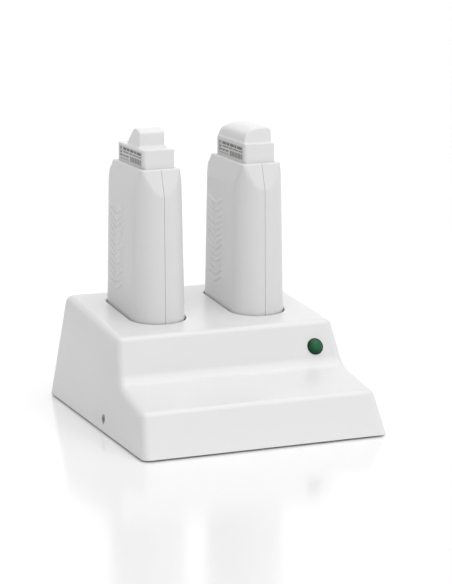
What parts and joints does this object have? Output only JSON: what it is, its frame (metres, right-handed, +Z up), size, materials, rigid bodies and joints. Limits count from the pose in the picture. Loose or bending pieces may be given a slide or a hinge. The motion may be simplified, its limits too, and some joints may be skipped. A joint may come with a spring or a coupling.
{
  "type": "roll-on wax heater",
  "caption": "Stepped mains dock with upright hand-held heaters in its wells, each warming a roll-on wax cartridge with a capped roller head.",
  "frame": {"origin": "on the floor under the middle of the dock", "axes": "+Z up; -Y out of the dock's stepped front; +X to the right of someone who looks at the front"},
  "size_m": [0.2126, 0.239, 0.2413],
  "materials": {
    "housing_white": "fine satin moulded ABS, white",
    "plate_white": "matt moulded ABS, off-white",
    "rubber_grey": "soft matt rubber",
    "screw_steel": "zinc-plated steel",
    "liner_white": "matt moulded ABS, white",
    "insulator_black": "matt heat-resistant moulding, black",
    "contact_brass": "plain turned brass",
    "lens_green": "clear green polycarbonate, polished",
    "bezel_dark": "black moulded nylon",
    "nut_nylon": "natural nylon",
    "bulb_glass": "clear glass glow lamp",
    "wire_brown": "PVC-covered wire, brown",
    "shell_white": "satin moulded ABS, cool white",
    "sleeve_aluminium": "plain drawn aluminium",
    "plate_ceramic": "unglazed ceramic heating plate",
    "thermostat_brown": "brown phenolic moulding",
    "wire_red": "silicone-covered wire, red",
    "tank_white": "milky polypropylene",
    "wax_honey": "set honey-coloured wax",
    "head_white": "satin polypropylene, white",
    "label_paper": "blank printed sticker, grey on white",
    "roller_white": "smooth acetal",
    "cap_white": "satin polypropylene, white"
  },
  "bodies": {
    "dock": {"base_housing": "housing_white", "base_plate": "plate_white", "rubber_feet": "rubber_grey", "side_screws": "screw_steel", "liner_screws": "screw_steel", "left_well_liner": "liner_white", "right_well_liner": "liner_white", "left_contact_block": "insulator_black", "right_contact_block": "insulator_black", "left_contact_pins": "contact_brass", "right_contact_pins": "contact_brass", "pilot_lens": "lens_green", "pilot_bezel": "bezel_dark", "pilot_nut": "nut_nylon", "pilot_bulb": "bulb_glass", "mains_inlet": "insulator_black", "mains_pins": "contact_brass", "terminal_block": "nut_nylon", "dock_wiring": "wire_brown"},
    "left_heater": {"left_heater_shell_a": "shell_white", "left_heater_shell_b": "shell_white", "left_shell_screws": "screw_steel", "left_heat_sleeve": "sleeve_aluminium", "left_heat_plates": "plate_ceramic", "left_thermostat": "thermostat_brown", "left_heater_socket": "insulator_black", "left_heater_wiring": "wire_red"},
    "right_heater": {"right_heater_shell_a": "shell_white", "right_heater_shell_b": "shell_white", "right_shell_screws": "screw_steel", "right_heat_sleeve": "sleeve_aluminium", "right_heat_plates": "plate_ceramic", "right_thermostat": "thermostat_brown", "right_heater_socket": "insulator_black", "right_heater_wiring": "wire_red"},
    "left_cartridge": {"left_wax_tank": "tank_white", "left_wax": "wax_honey", "left_roller_head": "head_white", "left_label": "label_paper"},
    "right_cartridge": {"right_wax_tank": "tank_white", "right_wax": "wax_honey", "right_roller_head": "head_white", "right_label": "label_paper"},
    "left_roller": {"left_roller": "roller_white"},
    "right_roller": {"right_roller": "roller_white"},
    "left_cap": {"left_cap": "cap_white"},
    "right_cap": {"right_cap": "cap_white"}
  },
  "joints": [
    {"name": "left_heater_lift", "type": "slide", "parent": "dock", "child": "left_heater", "axis": [0, 0, 1], "range_m": [0, 0.045]},
    {"name": "right_heater_lift", "type": "slide", "parent": "dock", "child": "right_heater", "axis": [0, 0, 1], "range_m": [0, 0.045]},
    {"name": "left_cartridge_lift", "type": "slide", "parent": "left_heater", "child": "left_cartridge", "axis": [0, 0, 1], "range_m": [0, 0.105]},
    {"name": "right_cartridge_lift", "type": "slide", "parent": "right_heater", "child": "right_cartridge", "axis": [0, 0, 1], "range_m": [0, 0.105]},
    {"name": "left_roller_spin", "type": "hinge", "parent": "left_cartridge", "child": "left_roller", "pos_m": [-0.043, 0.0388, 0.2303], "axis": [0, 1, 0], "continuous": true},
    {"name": "right_roller_spin", "type": "hinge", "parent": "right_cartridge", "child": "right_roller", "pos_m": [0.047, 0.0412, 0.2269], "axis": [0, 1, 0], "continuous": true},
    {"name": "left_cap_lift", "type": "slide", "parent": "left_cartridge", "child": "left_cap", "axis": [0, 0, 1], "range_m": [0, 0.025]},
    {"name": "right_cap_lift", "type": "slide", "parent": "right_cartridge", "child": "right_cap", "axis": [0, 0, 1], "range_m": [0, 0.025]}
  ]
}
